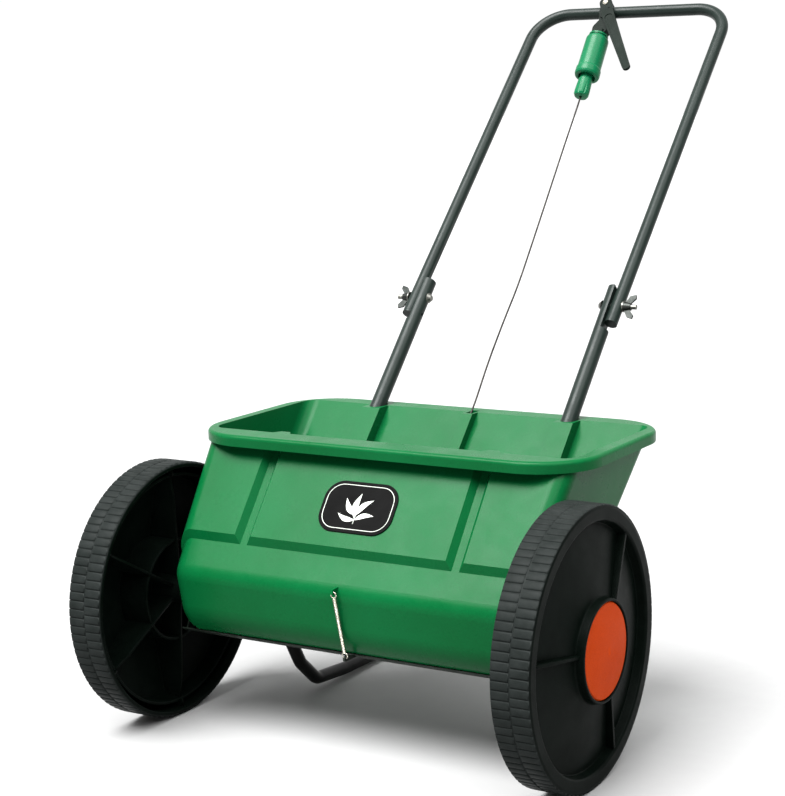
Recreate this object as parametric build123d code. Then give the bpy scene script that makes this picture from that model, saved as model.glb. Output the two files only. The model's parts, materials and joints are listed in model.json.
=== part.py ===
from build123d import *
import os
from math import sin, cos, tan, acos, radians, atan2, sqrt, pi

# Drop spreader for lawn feed, as an assembly of separate pieces.
# Frame while modelling: X along the axle, -Y front, +Y the user's side, Z up, the ground at z = 0
# and the axle over y = 0. Everything is shifted along Y at the end, so that the origin is the
# middle of the footprint on the ground. Millimetres.

# ---- driving dimensions ----
wheel_radius = 150.0
wheel_inner_x = 242.4
wheel_outer_x = 286.4
wheel_hub_x = 232.4
hub_floor_x = wheel_outer_x - 9.0
hub_bore = 51.4
tread_teeth = 96
tread_core = wheel_radius - 1.2
axle_height = wheel_radius
axle_radius = 5.0
axle_half = 284.8
running_gap = 0.05

wall = 3.0
rim_top = 333.0
trough_radius = 43.5
front_lean = 38.0
lower_front_lean = 5.3
floor_rise = 37.6
rear_lean = 43.5
front_support = 60.2
panel_raise = 7.4
rear_support = 73.0
end_half_low = 216.0
end_taper = 0.10
corner_radius = 18.0
crease_radius = 26.0

rim_half_length = 250.5
rim_front = 26.0
rim_rear = 300.0
rim_corner = 72.0
rim_skirt = 13.0

lower_tube_radius = 9.5
lower_tube_x = 131.0
lower_tube_support = 67.5
tube_wall = 1.5
upper_tube_radius = 8.0
upper_tube_x = 141.0
crossbar_y = 751.8
crossbar_z = 814.5
upper_lean = 45.75
handle_corner = 47.0
joint_z = 454.0
joint_plane_x = 133.0
joint_bolt_radius = 3.0
washer_thickness = 1.4

groove_x = 136.0
step_y = -22.5
step_z = 228.5
centre_channel_support = 62.5
badge_z = 269.0
badge_width = 94.0
badge_height = 62.0

boss_radius = 14.0
bush_radius = 8.0
boss_end_x = 226.0
slot_pitch = 26.0
slot_count = 15
slot_length = 17.0
slot_width = 7.0

tube_screw_heights = (268.0, 224.0)
tube_foot_z = 206.0

# places in the side view are (y, z), and places in space are (x, y, z)
stand_radius = 7.8
stand_wall = 1.2
stand_x = 150.0
stand_screw_radius = 1.9
stand_top = (54.0, 131.0)
stand_knee = (104.0, 45.0)

lever_x = -41.0
adjuster_top = (727.0, 783.0)
adjuster_foot = (666.0, 700.0)
adjuster_tube_radius = 6.0

# the lever lies in a plane along the crossbar and the adjuster. Places in it are (across, up)
# from the crossbar's axis at the adjuster, and heights above it are measured from that axis
lever_back = 10.6
lever_thickness = 4.4
lever_pivot = (2.7, 7.5)
lever_tip = (61.0, -101.0)
lever_tip_radius = 5.5
pin_radius = 2.5
wire_post = (10.5, -2.5)
lever_wire_radius = 0.9
wire_bore = 2.2
bracket_ring = (-5.5, 6.5)
bracket_ring_radius = 12.6
clamp_screw_spot = (0.5, 0.0)
clamp_screw_radius = 1.5
clamp_head_radius = 2.8
clamp_head_seat = 1.4 - bracket_ring_radius

wire_radius = 1.2
wire_line = 68.0
wire_floor_offset = 49.5
sleeve_angle = 33.0

shutter_inner = trough_radius + 0.7
shutter_outer = shutter_inner + 1.6
shutter_front = -36.0
shutter_rear = 22.0
shutter_half = 223.5
shutter_travel = 12.0

spring_top = (2.0, -52.0, 189.0)
spring_bottom = (10.0, -43.5, 114.0)
spring_wire = 0.8
spring_ring = 3.2
spring_hole = 1.7


# ---- small helpers ----
def rod(start, end, radius):
    """A round bar between two points."""
    start, end = Vector(*start), Vector(*end)
    along = end - start
    side = Vector(1, 0, 0)
    if abs(along.normalized().X) > 0.9:
        side = Vector(0, 1, 0)
    section = Plane(origin=start, z_dir=along, x_dir=side) * Circle(radius)
    return extrude(section, along.length)


def x_rod(x1, x2, y, z, radius):
    """A round bar along X."""
    return rod((x1, y, z), (x2, y, z), radius)


def x_ring(x1, x2, y, z, outer, inner):
    """A round sleeve along X."""
    low, high = sorted((x1, x2))
    return x_rod(low, high, y, z, outer) - x_rod(low - 1, high + 1, y, z, inner)


def x_slab(points, x1, x2):
    """A flat plate with an outline in the YZ plane, between two values of x."""
    x1, x2 = sorted((x1, x2))
    face = make_face(Plane.YZ * Polyline(*points, close=True))
    return Pos(x1, 0, 0) * extrude(face, x2 - x1, dir=(1, 0, 0))


def as_shape(result):
    """A boolean can give a list of solids: one solid, or a compound of several."""
    pieces = result if isinstance(result, list) else [result]
    solids = [solid for piece in pieces for solid in piece.solids()]
    return solids[0] if len(solids) == 1 else Compound(solids)


def mirrored(solid):
    """The same piece on the other side of the middle plane."""
    return mirror(solid, about=Plane.YZ)


def bent_path(points):
    """Straight runs joined by arcs as large as their two runs allow."""
    corners = [Vector(*p) for p in points]
    radii = []
    for before, here, after in zip(corners, corners[1:], corners[2:]):
        turn = radians((here - before).get_angle(after - here))
        shorter = min((here - before).length, (after - here).length)
        radii.append(0.45 * shorter / tan(turn / 2))
    print("bend radii (mm):", [round(r) for r in radii])
    return FilletPolyline(*corners, radius=radii)


def tube_along(path, radius):
    """A round bar swept along a path."""
    start = Plane(origin=path @ 0, z_dir=path % 0)
    return sweep(start * Circle(radius), path=path)


# ---- section of the hopper: four walls, each a line at a set distance from the axle ----
def wall_line(normal_angle, support):
    """Unit outward normal (y, z) at an angle from +Y, with the distance from the axle."""
    return cos(radians(normal_angle)), sin(radians(normal_angle)), support


def meet(first, second):
    """Where two wall lines cross, as (y, z)."""
    a, b, p = first
    c, d, q = second
    det = a * d - b * c
    return (p * d - b * q) / det, (a * q - p * c) / det + axle_height


def wall_point(line, z):
    """The y of a wall line at a height."""
    a, b, p = line
    return (p - b * (z - axle_height)) / a


front_normal = 180 - front_lean
rear_normal = -rear_lean
lower_front_normal = 180 + lower_front_lean
floor_normal = floor_rise - 90


def hopper_profile(inset, front_distance, top):
    """The hopper's YZ outline, moved inward by the inset."""
    front = wall_line(front_normal, front_distance - inset)
    low_front = wall_line(lower_front_normal, trough_radius - inset)
    floor = wall_line(floor_normal, trough_radius - inset)
    rear = wall_line(rear_normal, rear_support - inset)
    corners = [
        (wall_point(front, top), top),
        meet(front, low_front),
        meet(low_front, floor),
        meet(floor, rear),
        (wall_point(rear, top), top),
    ]
    radii = [crease_radius - inset, trough_radius - inset, 90 - inset]
    outline = FilletPolyline(*corners, radius=radii)
    closing = Line(corners[-1], corners[0])
    return make_face(Plane.YZ * Curve([outline, closing]))


def hopper_block(inset, front_distance, top):
    """The profile as a block with tapered, round-cornered ends."""
    reach = 260.0
    block = Pos(-reach, 0, 0) * extrude(hopper_profile(inset, front_distance, top), 2 * reach, dir=(1, 0, 0))
    low, high = 60.0, 400.0
    half_low = end_half_low + end_taper * (low - 120) - inset
    half_high = end_half_low + end_taper * (high - 120) - inset
    ends = [(-half_low, low), (half_low, low), (half_high, high), (-half_high, high)]
    cutter = extrude(make_face(Plane.XZ * Polyline(*ends, close=True)), 900, both=True)
    block = block & cutter
    edges = [e for e in block.edges()
             if abs(abs(e.center().X) - (end_half_low + end_taper * (e.center().Z - 120) - inset)) < 0.5
             and e.center().Z < top - 0.1]
    return fillet(edges, corner_radius - inset)


def front_groove(x, inset):
    """A trapezoid groove down the front wall, flush with the lower wall surface."""
    depth = panel_raise + 1
    bottom_half = 4.5 + inset * 0.5
    top_half = bottom_half + depth * 0.85
    n = (0, cos(radians(front_normal)), sin(radians(front_normal)))
    origin = (x, n[1] * (front_support - inset), n[2] * (front_support - inset) + axle_height)
    up = (0, sin(radians(front_lean)), cos(radians(front_lean)))
    section = [(-bottom_half, 0), (bottom_half, 0), (top_half, depth), (-top_half, depth)]
    plane = Plane(origin=origin, x_dir=(1, 0, 0), z_dir=(0, -up[1], -up[2]))
    if plane.y_dir.dot(Vector(*n)) < 0:
        plane = Plane(origin=origin, x_dir=(-1, 0, 0), z_dir=(0, -up[1], -up[2]))
    return extrude(make_face(plane * Polyline(*section, close=True)), 400, both=True)


def rear_channel(x, half_width, floor_support, inset):
    """A flat-bottomed channel down the outside of the rear wall, open to the rear."""
    n = Vector(0, cos(radians(rear_normal)), sin(radians(rear_normal)))
    along = Vector(0, sin(radians(rear_lean)), cos(radians(rear_lean)))
    base = Vector(x, 0, axle_height) + n * (floor_support - inset)
    plane = Plane(origin=base, x_dir=(1, 0, 0), z_dir=along)
    outward = 1 if plane.y_dir.dot(n) > 0 else -1
    depth = 60.0
    return plane * Pos(0, outward * depth / 2, 0) * Box(2 * (half_width + inset), depth, 900)


def hopper_form(inset, top):
    """The solid shape of the hopper at an inset: 0 outside, the wall inside."""
    base = hopper_block(inset, front_support, top)
    raised = hopper_block(inset, front_support + panel_raise, top)
    lean_out = 0.08
    y_low = step_y + inset + lean_out * (step_z - 60)
    y_high = step_y + inset - lean_out * (500 - step_z)
    keep = [(y_low, 60), (600, 60), (600, 500), (y_high, 500)]
    form = base + (raised & x_slab(keep, -300, 300))
    for x in (-groove_x, groove_x):
        form = form - front_groove(x, inset)
    for x in (-lower_tube_x, lower_tube_x):
        bottom = lower_tube_support - lower_tube_radius - 0.2
        form = form - rear_channel(x, lower_tube_radius + 0.2, bottom, inset)
    form = form - rear_channel(0, 4.5, centre_channel_support, inset)
    return form


def tube_axis_point(support, z):
    """A point (y, z) on the lower handle tube's line, which is parallel to the rear wall."""
    return wall_point(wall_line(rear_normal, support), z), z


def rim_outline(inset):
    """The rim's outline seen from above."""
    length = 2 * (rim_half_length - inset)
    width = rim_rear - rim_front - 2 * inset
    return Pos(0, (rim_front + rim_rear) / 2) * RectangleRounded(length, width, rim_corner - inset)


def rim():
    """The turned-down lip round the top of the hopper."""
    outer = Pos(0, 0, rim_top - rim_skirt) * extrude(rim_outline(0), rim_skirt)
    outer = fillet(outer.faces().sort_by(Axis.Z)[-1].edges(), 4.5)
    under = Pos(0, 0, rim_top - rim_skirt - 1) * extrude(rim_outline(wall), rim_skirt + 1 - wall)
    return outer - under


def along_floor(angle, radius):
    """A point (y, z) below the axle: the angle is from straight down, positive to the rear."""
    return radius * sin(radians(angle)), axle_height - radius * cos(radians(angle))


def feed_slots(angle, length, width):
    """The row of feed slots, as cutters through the trough or the shutter."""
    cutters = []
    for i in range(slot_count):
        x = (i - (slot_count - 1) / 2) * slot_pitch
        y, z = along_floor(angle, trough_radius)
        down = (0, sin(radians(angle)), -cos(radians(angle)))
        plane = Plane(origin=(x, y, z), x_dir=(1, 0, 0), z_dir=down)
        cutters.append(plane * Box(length, width, 12))
    return cutters


def stand_direction():
    """Unit vector (y, z) up the stand's legs."""
    dy, dz = stand_top[0] - stand_knee[0], stand_top[1] - stand_knee[1]
    length = sqrt(dy * dy + dz * dz)
    return dy / length, dz / length


def stand_sockets(body):
    """The hopper with the two sockets for the stand's legs under its floor."""
    uy, uz = stand_direction()
    for x in (-stand_x, stand_x):
        end = (x, stand_top[0] + uy * 14, stand_top[1] + uz * 14)
        mouth = (x, stand_top[0] - uy * 26, stand_top[1] - uz * 26)
        body = body + rod(mouth, end, stand_radius + 3.4)
    return body


def stand_socket_bores(body):
    """The bores of those sockets, and the holes across them for the retaining screws."""
    uy, uz = stand_direction()
    for x in (-stand_x, stand_x):
        mouth = (x, stand_top[0] - uy * 40, stand_top[1] - uz * 40)
        body = body - rod(mouth, (x, *stand_top), stand_radius + 0.15)
        sy, sz = stand_top[0] - uy * 12, stand_top[1] - uz * 12
        body = body - x_rod(x - 16, x + 16, sy, sz, stand_screw_radius)
    return body


def lip_holes(body):
    """Holes in the lip for the two tubes, longer to the rear, and the control wire's notch."""
    for x in (-lower_tube_x, lower_tube_x):
        for back in (0, 4):
            y1, z1 = tube_axis_point(lower_tube_support, 300)
            y2, z2 = tube_axis_point(lower_tube_support, 360)
            body = body - rod((x, y1 + back, z1), (x, y2 + back, z2), lower_tube_radius + 0.3)
    y_wire, _ = tube_axis_point(wire_line, rim_top)
    return body - Pos(0, y_wire + 3, rim_top) * Box(9, 20, 10)


def spring_lug():
    """Small fin on the trough's front that the return spring hangs from."""
    x, y, z = spring_top
    outline = [(y - 3.4, z - 2), (y + 14, z - 8), (y + 14, z + 4), (y - 2, z + 3.4)]
    return x_slab(outline, x - 1.2, x + 1.2) - hopper_form(wall / 2, rim_top)


def hopper():
    """The feed hopper: one moulding with its lip, sockets, axle bosses and feed slots."""
    cavity = hopper_form(wall, rim_top + 8)
    body = hopper_form(0, rim_top) + (rim() - hopper_form(wall / 2, rim_top + 8))
    body = stand_sockets(body)
    for side in (-1, 1):
        body = body + x_rod(side * 200, side * boss_end_x, 0, axle_height, boss_radius)
    body = body - cavity
    # pads inside the ends, which back the axle bushes
    for side in (-1, 1):
        body = body + x_ring(side * 205, side * 218, 0, axle_height, boss_radius + 3, 6)
        body = body - x_rod(side * 190, side * 230, 0, axle_height, bush_radius)
    body = lip_holes(stand_socket_bores(body))
    for x in (-lower_tube_x, lower_tube_x):
        for z in tube_screw_heights:
            body = body - tube_screw_line(x, z, 2.55)
    for cutter in feed_slots(0, slot_length, slot_width):
        body = body - cutter
    x, y, z = spring_top
    return (body + spring_lug()) - x_rod(x - 3, x + 3, y, z, spring_hole)


def tube_screw_line(x, z, radius, start=-18.0, end=14.0):
    """A bar along a tube screw: its axis is square to the rear wall."""
    n = Vector(0, cos(radians(rear_normal)), sin(radians(rear_normal)))
    y, zz = tube_axis_point(lower_tube_support, z)
    base = Vector(x, y, zz)
    return rod(tuple(base + n * start), tuple(base + n * end), radius)


def lower_tube(side):
    """A steel tube from the rear wall to the handle joint, with a flat pressed on its top end."""
    x = side * lower_tube_x
    low = (x, *tube_axis_point(lower_tube_support, tube_foot_z))
    high = (x, *tube_axis_point(lower_tube_support, joint_z + 19))
    bar = rod(low, high, lower_tube_radius)
    bore_end = (x, *tube_axis_point(lower_tube_support, joint_z - 30))
    bar = bar - rod(low, bore_end, lower_tube_radius - tube_wall)
    # the pressed flat that the upper tube lies against, from below the bolt to the end
    flat_low = joint_z - 27
    along = Vector(0, sin(radians(rear_lean)), cos(radians(rear_lean)))
    base = Vector(side * (joint_plane_x + 10), *tube_axis_point(lower_tube_support, flat_low))
    plane = Plane(origin=base, x_dir=(1, 0, 0), z_dir=along)
    cutter = plane * Pos(0, 0, 60) * Box(20, 60, 120)
    bar = bar - cutter
    y, z = joint_centre()
    bar = bar - x_rod(x - 20, x + 20, y, z, joint_bolt_radius + 0.1)
    for height in tube_screw_heights:
        bar = bar - tube_screw_line(x, height, 2.3)
    # the small hole near the joint
    y, z = tube_axis_point(lower_tube_support, joint_z - 19)
    bar = bar - x_rod(x - side * 12, x - side * 6, y, z, 2.0)
    return bar


def joint_centre():
    """The fold axis (y, z)."""
    return tube_axis_point(lower_tube_support, joint_z)


def tube_plug(side):
    """Plastic plug in the lower end of a lower tube."""
    x = side * lower_tube_x
    along = Vector(0, sin(radians(rear_lean)), cos(radians(rear_lean)))
    base = Vector(x, *tube_axis_point(lower_tube_support, tube_foot_z))
    head = rod(tuple(base - along * 4), tuple(base), lower_tube_radius)
    stem = rod(tuple(base), tuple(base + along * 12), lower_tube_radius - tube_wall)
    return head + stem


def tube_screws():
    """Four screws that hold the lower tubes to the rear wall."""
    solids = []
    for x in (-lower_tube_x, lower_tube_x):
        for z in tube_screw_heights:
            shank = tube_screw_line(x, z, 2.2, -13.0, 12.5)
            head = tube_screw_line(x, z, 4.6, 9.6, 12.8)
            solids.append(shank + head)
    return Compound(solids)


def tube_nuts():
    """The nuts of those screws, inside the hopper."""
    solids = []
    n = Vector(0, cos(radians(rear_normal)), sin(radians(rear_normal)))
    for x in (-lower_tube_x, lower_tube_x):
        for z in tube_screw_heights:
            centre = Vector(x, *tube_axis_point(lower_tube_support, z))
            plane = Plane(origin=centre - n * 16.2, x_dir=(1, 0, 0), z_dir=n)
            body = plane * extrude(RegularPolygon(5.0, 6), 3.4)
            dome = plane * Pos(0, 0, -0.6) * Cylinder(3.6, 1.4)
            solids.append((body + dome) - tube_screw_line(x, z, 2.2, -13.0, 12.0))
    return Compound(solids)


def upper_handle():
    """The U-shaped upper tube with the crossbar, its ends against the flats of the lower tubes."""
    y_low, z_low = upper_leg_point(joint_z - 19)
    x = upper_tube_x
    left = [(-x, y_low, z_low), (-x, crossbar_y, crossbar_z)]
    corners = left + [(x, crossbar_y, crossbar_z), (x, y_low, z_low)]
    path = FilletPolyline(*corners, radius=handle_corner)
    outer = tube_along(path, upper_tube_radius)
    inner = tube_along(path, upper_tube_radius - tube_wall)
    # the ends are closed round the bolt, so that the bolt bears on solid metal
    handle = outer - inner
    y_c, z_c = joint_centre()
    for side in (-1, 1):
        low = (side * x, *upper_leg_point(joint_z - 19))
        high = (side * x, *upper_leg_point(joint_z + 13))
        handle = handle + rod(low, high, upper_tube_radius - 0.2)
        handle = handle - x_rod(side * x - 20, side * x + 20, y_c, z_c, joint_bolt_radius + running_gap)
        flat = Pos(side * (joint_plane_x + 0.3 - 10), y_c, z_c) * Box(20, 200, 200)
        handle = handle - flat
    return handle


def upper_leg_point(z):
    """A point (y, z) on the upper handle's leg line."""
    y_c, z_c = joint_centre()
    y_top, z_top = crossbar_y, crossbar_z
    t = (z - z_c) / (z_top - z_c)
    return y_c + t * (y_top - y_c), z


def joint_bolt(side):
    """Carriage bolt through both tubes, its domed head on the inner side."""
    y, z = joint_centre()
    head_x = side * (lower_tube_x - lower_tube_radius)
    head = Solid.make_cone(6.6, 3.6, 4.0, Plane(origin=(head_x, y, z), z_dir=(-side, 0, 0)))
    return head + x_rod(head_x, side * (upper_tube_x + 25), y, z, joint_bolt_radius)


def joint_washer(side):
    """Washer between the upper tube and the wing nut."""
    y, z = joint_centre()
    face = side * (upper_tube_x + upper_tube_radius)
    return x_ring(face, face + side * washer_thickness, y, z, 7.0, joint_bolt_radius + 0.15)


def wing_nut(side):
    """Wing nut on the joint bolt, its wings turned up to the rear."""
    y, z = joint_centre()
    start = side * (upper_tube_x + upper_tube_radius + washer_thickness + 0.1)
    nut = Solid.make_cone(6.2, 4.6, 8.5, Plane(origin=(start, y, z), z_dir=(side, 0, 0)))
    for way in (-1, 1):
        # (distance along the wings, distance outward from the tube)
        outline = [(0, 0), (4.5, 0), (13.5, 5.5), (15.5, 12.5), (11, 13.5), (4, 7.5), (0, 7.5)]
        flat = [(start + side * out, along * way) for along, out in outline]
        wing = extrude(make_face(Polyline(*flat, close=True)), 1.5, both=True)
        wing = Pos(0, y, z) * Rot(60, 0, 0) * wing
        nut = nut + wing
    return nut - x_rod(start - side, start + side * 20, y, z, joint_bolt_radius + running_gap)


# ---- lever, bracket and adjuster on the crossbar ----
def adjuster_axis():
    """Unit vector (y, z) down the adjuster."""
    dy, dz = adjuster_foot[0] - adjuster_top[0], adjuster_foot[1] - adjuster_top[1]
    length = sqrt(dy * dy + dz * dz)
    return dy / length, dz / length


def adjuster_point(s):
    """A point on the adjuster's axis, at a distance below its top."""
    uy, uz = adjuster_axis()
    return lever_x, adjuster_top[0] + uy * s, adjuster_top[1] + uz * s


def lever_plane(height=0.0):
    """The lever's plane at a height above the crossbar's axis: x across, y up, z to the front."""
    uy, uz = adjuster_axis()
    front = Vector(0, uz, -uy)
    centre = Vector(lever_x, crossbar_y, crossbar_z)
    return Plane(origin=centre + front * height, x_dir=(1, 0, 0), z_dir=front)


def lever_place(spot, height):
    """A point in space from a place (across, up) and a height above the crossbar's axis."""
    return lever_plane(height).from_local_coords(Vector(*spot, 0))


def rounded_plate(circles, low, high):
    """A flat plate round a row of circles (across, up, r), between two heights."""
    outline = Sketch()
    for (x1, y1, r1), (x2, y2, r2) in zip(circles, circles[1:]):
        length = sqrt((x2 - x1) ** 2 + (y2 - y1) ** 2)
        along = atan2(y2 - y1, x2 - x1)
        spread = acos((r1 - r2) / length)
        quad = []
        for angle, ends in ((along - spread, (0, 1)), (along + spread, (1, 0))):
            tangents = [(x1 + r1 * cos(angle), y1 + r1 * sin(angle)),
                        (x2 + r2 * cos(angle), y2 + r2 * sin(angle))]
            quad += [tangents[end] for end in ends]
        outline += Polygon(*quad, align=None) + Pos(x1, y1) * Circle(r1) + Pos(x2, y2) * Circle(r2)
    return lever_plane(low) * extrude(outline, high - low)


def lever_bracket():
    """Bracket clamped round the crossbar, which carries the lever's pivot and the adjuster."""
    ring_low, ring_high = (lever_x + x for x in bracket_ring)
    ring = x_rod(ring_low, ring_high, crossbar_y, crossbar_z, bracket_ring_radius)
    pad = rounded_plate([(*lever_pivot, 8.0), (3.5, -7.0, 8.0)], 0, lever_back - 0.3)
    web = rounded_plate([(3.0, -6.0, 9.0), (8.0, -19.0, 10.0), (1.5, -31.0, 11.0)], -5.0, 8.4)
    seat = rod(adjuster_point(-6), adjuster_point(0), 11.5)
    body = ring + pad + web + seat
    tube_bore = upper_tube_radius + running_gap
    body = body - x_rod(ring_low - 40, ring_high + 40, crossbar_y, crossbar_z, tube_bore)
    body = body - rounded_rod(lever_pivot, 2.0, 30.0, pin_radius)
    body = body - rounded_rod(clamp_screw_spot, -30.0, 0.0, clamp_screw_radius)
    body = body - rounded_rod(clamp_screw_spot, -30.0, clamp_head_seat, clamp_head_radius)
    # the wire's way through, from the adjuster to the front of the crossbar
    body = body - rod(adjuster_point(-2), adjuster_point(4), wire_bore)
    body = body - Pos(*adjuster_point(-2)) * Sphere(wire_bore)
    body = body - rod(adjuster_point(-2), lever_wire_turn(), wire_bore)
    body = body - rounded_rod(wire_post, 6.0, 30.0, wire_bore)
    # room for the lever's swing
    body = body - lever_plane(lever_back - 0.3 + 20) * Box(120, 120, 40)
    return body - rod(adjuster_point(0), adjuster_point(40), 18.0)


def rounded_rod(spot, low, high, radius):
    """A round bar square to the lever's plane, between two heights."""
    return rod(tuple(lever_place(spot, low)), tuple(lever_place(spot, high)), radius)


def bracket_screw():
    """Small screw in the back of the bracket, which stops it turning on the crossbar."""
    head = rounded_rod(clamp_screw_spot, clamp_head_seat - 2.0, clamp_head_seat, clamp_head_radius)
    tip = -upper_tube_radius - running_gap
    shank = rounded_rod(clamp_screw_spot, clamp_head_seat, tip, clamp_screw_radius)
    slot = lever_plane(clamp_head_seat - 2.0) * Pos(*clamp_screw_spot, 0) * Box(8, 1.0, 1.6)
    return head + shank - slot


def lever():
    """The hand lever that opens the shutter: a plate from its eye to a narrow round tip."""
    low, high = lever_back, lever_back + lever_thickness
    waist = (11.5, -13.0, 8.6)
    middle = (34.0, -53.0, 7.0)
    plate = rounded_plate([(*lever_pivot, 8.6), waist, middle, (*lever_tip, lever_tip_radius)], low, high)
    # rim along the edge of the front, round a shallow panel
    panel = rounded_plate([(14.0, -18.0, 5.6), (34.0, -53.0, 4.2), (*lever_tip, lever_tip_radius - 2.2)],
                          high - 0.9, high + 1)
    body = plate - panel - rounded_rod(lever_pivot, 0, 30, pin_radius + running_gap)
    return body - rounded_rod(wire_post, 0, 30, lever_wire_radius + 0.25)


def lever_pin():
    """Pivot pin with a domed head, pressed into the bracket."""
    top = lever_back + lever_thickness
    shank = rounded_rod(lever_pivot, 6.6, top + 0.4, pin_radius)
    dome = turned([(0, 0), (4.2, 0), (4.2, 0.7), (3.2, 1.9), (1.4, 2.6), (0, 2.8)])
    return shank + lever_plane(top + 0.1) * Pos(*lever_pivot, 0) * dome


def turned(profile):
    """A round piece about Z, from a profile of (radius, height)."""
    return revolve(make_face(Plane.XZ * Polyline(*profile, close=True)), Axis.Z)


def on_adjuster(solid, start):
    """A round piece moved onto the adjuster's axis, its Z down the axis from a distance."""
    return Plane(origin=adjuster_point(start), x_dir=(1, 0, 0), z_dir=(0, *adjuster_axis())) * solid


def lever_wire_turn():
    """Where the lever's wire turns up into the lever."""
    return tuple(lever_place(wire_post, lever_back - lever_wire_radius - 0.35))


def lever_wire():
    """The short wire from the lever, through the bracket, into the adjuster."""
    start = adjuster_point(24)
    knee = adjuster_point(-2)
    end = tuple(lever_place(wire_post, lever_back + lever_thickness))
    path = FilletPolyline(start, knee, lever_wire_turn(), end, radius=[12, 1.2])
    return tube_along(path, lever_wire_radius)


def adjuster_core():
    """Fixed tube under the bracket, on which the dial and the nut turn."""
    flange, tube = 13.5, adjuster_tube_radius
    profile = [(wire_bore, 0), (flange, 0), (flange, 2.4), (tube, 2.4), (tube, 98), (wire_bore, 98)]
    return on_adjuster(turned(profile), 0)


def adjuster_dial():
    """The flow dial: a large smooth knob, rounded at the top, with a collar at its foot."""
    bore = adjuster_tube_radius + running_gap
    profile = [
        (bore, 0), (12.5, 0), (12.5, 1.2), (14.2, 2.0), (15.5, 3.8), (15.9, 6.0), (16.2, 52.0),
        (17.2, 54.0), (17.4, 56.0), (17.4, 62.5), (16.6, 65.0), (15.0, 66.2),
        (12.2, 66.2), (12.2, 58.7), (bore, 58.7),
    ]
    return on_adjuster(turned(profile), 2.8)


def adjuster_nut():
    """The small lobed nut that takes up slack in the wire."""
    bore = adjuster_tube_radius + running_gap
    profile = [
        (bore, 0), (8.4, 0), (8.4, 9.0), (9.6, 11.0), (10.4, 30.0), (10.2, 35.0), (8.8, 37.6),
        (wire_bore, 38.2), (wire_bore, 35.4), (bore, 35.4),
    ]
    knob = turned(profile)
    flutes = 8
    for i in range(flutes):
        angle = 2 * pi * i / flutes
        foot = (11.6 * cos(angle), 11.6 * sin(angle), 40.0)
        head = (12.4 * cos(angle), 12.4 * sin(angle), 14.0)
        knob = knob - rod(head, foot, 2.4)
    return on_adjuster(knob, 63)


# ---- control wire, shutter and return spring ----
def wire_floor_point(y):
    """A point on the wire's run along the underside of the floor."""
    a, b, p = wall_line(floor_normal, wire_floor_offset)
    return 0.0, y, axle_height + (p - a * y) / b


def control_wire_points():
    """The wire's route, from inside the adjuster down to the shutter's sleeve."""
    points = [
        adjuster_point(84),
        adjuster_point(112),
        (-36, 600, 632),
        (-30, 540, 573),
        (-24, 486, 522),
        (-19, 433, 470),
        (-13, 376, 426),
        (-5, 322, 386),
    ]
    points.append((0, *tube_axis_point(wire_line, 340)))
    points.append((0, *tube_axis_point(wire_line, 204)))
    points.append(wire_floor_point(100))
    points.append(wire_floor_point(27))
    return points


def control_wire():
    """The wire along its whole route, as straight runs joined by arcs."""
    path = bent_path(control_wire_points())
    print("control wire length (mm):", round(path.length))
    wire = tube_along(path, wire_radius)
    print("control wire volume over section times length:",
          round(wire.volume / (pi * wire_radius ** 2 * path.length), 3))
    return wire


def wire_clip():
    """Plastic clip that holds the wire in its channel at the rim."""
    n = Vector(0, cos(radians(rear_normal)), sin(radians(rear_normal)))
    along = Vector(0, sin(radians(rear_lean)), cos(radians(rear_lean)))
    centre = Vector(0, *tube_axis_point(wire_line, 318))
    plane = Plane(origin=centre, x_dir=(1, 0, 0), z_dir=along)
    block = plane * Box(8.8, 8.8, 14)
    return block - rod(tuple(centre - along * 20), tuple(centre + along * 20), 1.5)


def arc_strip(x1, x2, inner, outer, start, end):
    """Part of a ring about the axle, between two angles from straight down."""
    ring = x_ring(x1, x2, 0, axle_height, outer, inner)
    reach = 80.0
    points = [(0, axle_height)]
    steps = 4
    for i in range(steps + 1):
        points.append(along_floor(start + (end - start) * i / steps, reach))
    return ring & x_slab(points, x1, x2)


def shutter():
    """The curved plate under the trough. Its end cheeks turn on the hopper's bosses."""
    plate = arc_strip(-shutter_half, shutter_half, shutter_inner, shutter_outer, shutter_front, shutter_rear)
    for cutter in feed_slots(-shutter_travel, slot_length, slot_width):
        plate = plate - cutter
    for side in (-1, 1):
        x1, x2 = side * (shutter_half - 2), side * shutter_half
        cheek = arc_strip(x1, x2, boss_radius - 2, shutter_outer, shutter_front + 10, shutter_rear - 6)
        eye = x_rod(x1, x2, 0, axle_height, boss_radius + 5)
        cheek = (cheek + eye) - x_rod(x1 - side, x2 + side, 0, axle_height, boss_radius + running_gap)
        plate = plate + cheek
    # arm to the wire's sleeve
    arm = arc_strip(-5, 5, shutter_inner, shutter_outer, shutter_rear - 4, sleeve_angle + 1)
    plate = plate + arm
    # ear for the return spring, standing forward from the front edge
    x, y, z = spring_bottom
    low_y, low_z = along_floor(shutter_front + 6, shutter_outer)
    high_y, high_z = along_floor(shutter_front, shutter_outer - 0.3)
    outline = [(low_y, low_z), (high_y, high_z), (y + 1, z + 3.2), (y - 3.2, z + 1),
               (y - 3.2, z - 2.5), (y, z - 3.4)]
    ear = x_slab(outline, x - 1.2, x + 1.2)
    return (plate + ear) - x_rod(x - 3, x + 3, y, z, spring_hole)


def wire_sleeve():
    """The sleeve on the shutter's arm that grips the end of the wire."""
    a, b, _ = wall_line(floor_normal, 1)
    y, z = along_floor(sleeve_angle - 2.5, wire_floor_offset)
    along = Vector(0, -b, a)
    centre = Vector(0, y, z)
    body = rod(tuple(centre - along * 7), tuple(centre + along * 6), 3.4)
    foot = arc_strip(-3.2, 3.2, shutter_outer, wire_floor_offset, sleeve_angle - 7.5, sleeve_angle + 0.5)
    body = body + foot
    return body - rod(tuple(centre - along * 3), tuple(centre + along * 9), 1.9)


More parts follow.
